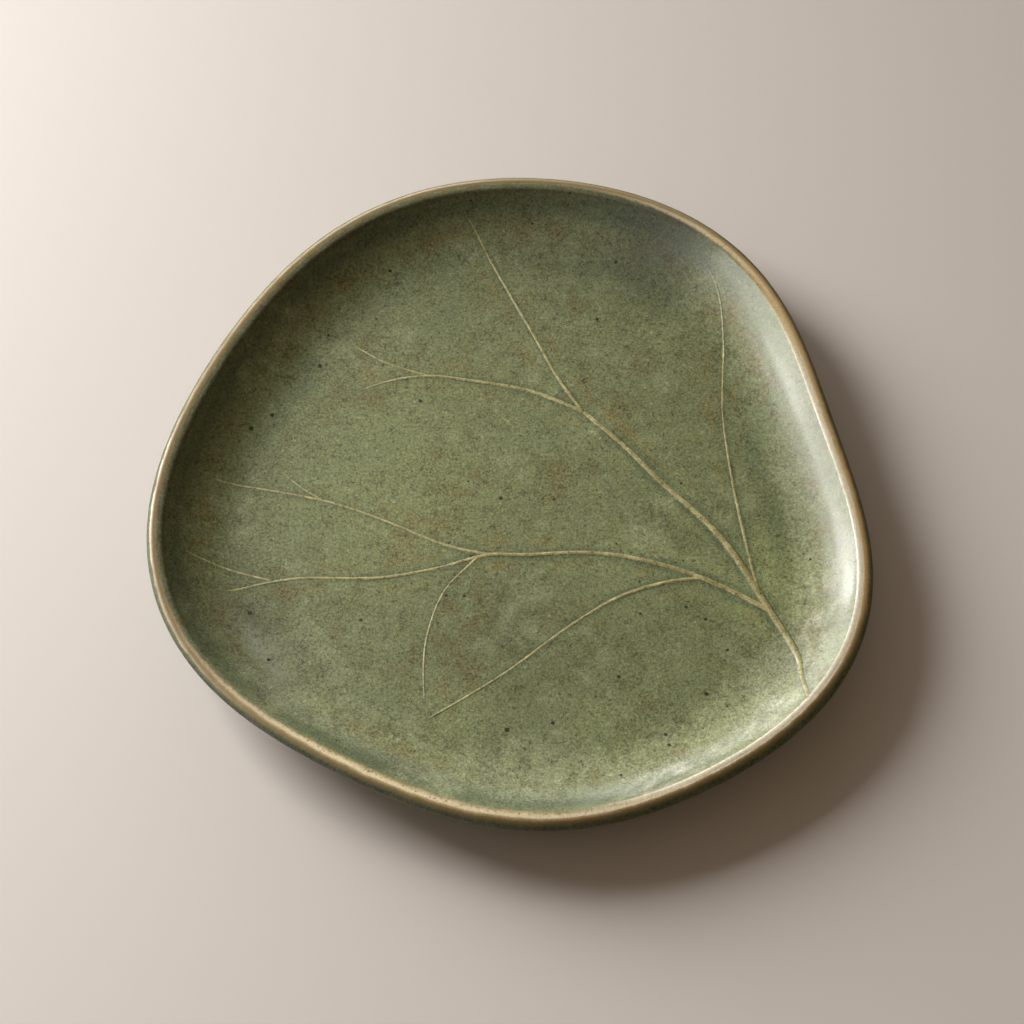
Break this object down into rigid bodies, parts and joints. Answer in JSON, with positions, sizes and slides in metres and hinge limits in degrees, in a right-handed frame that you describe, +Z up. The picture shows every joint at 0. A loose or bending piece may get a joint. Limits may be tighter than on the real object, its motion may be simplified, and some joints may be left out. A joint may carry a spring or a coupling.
{
  "type": "side plate",
  "caption": "Hand-built stoneware side plate with a rounded-triangle outline, rolled lip and raised leaf veins breaking through olive-green glaze, standing on a foot ring.",
  "frame": {"origin": "middle of the plate's plan box, on the plane that the foot ring rests on", "axes": "+Z up out of the dish, +X to the right and +Y away from the viewer of the picture"},
  "size_m": [0.2018, 0.202, 0.0198],
  "materials": {
    "stoneware": "bare fired clay, iron-speckled, matt",
    "glaze": "mottled olive and blue-green, satin gloss"
  },
  "bodies": {
    "root": {"slab_body": "stoneware", "foot_ring": "stoneware", "inside_glaze": "glaze", "outside_glaze": "glaze"}
  },
  "joints": []
}
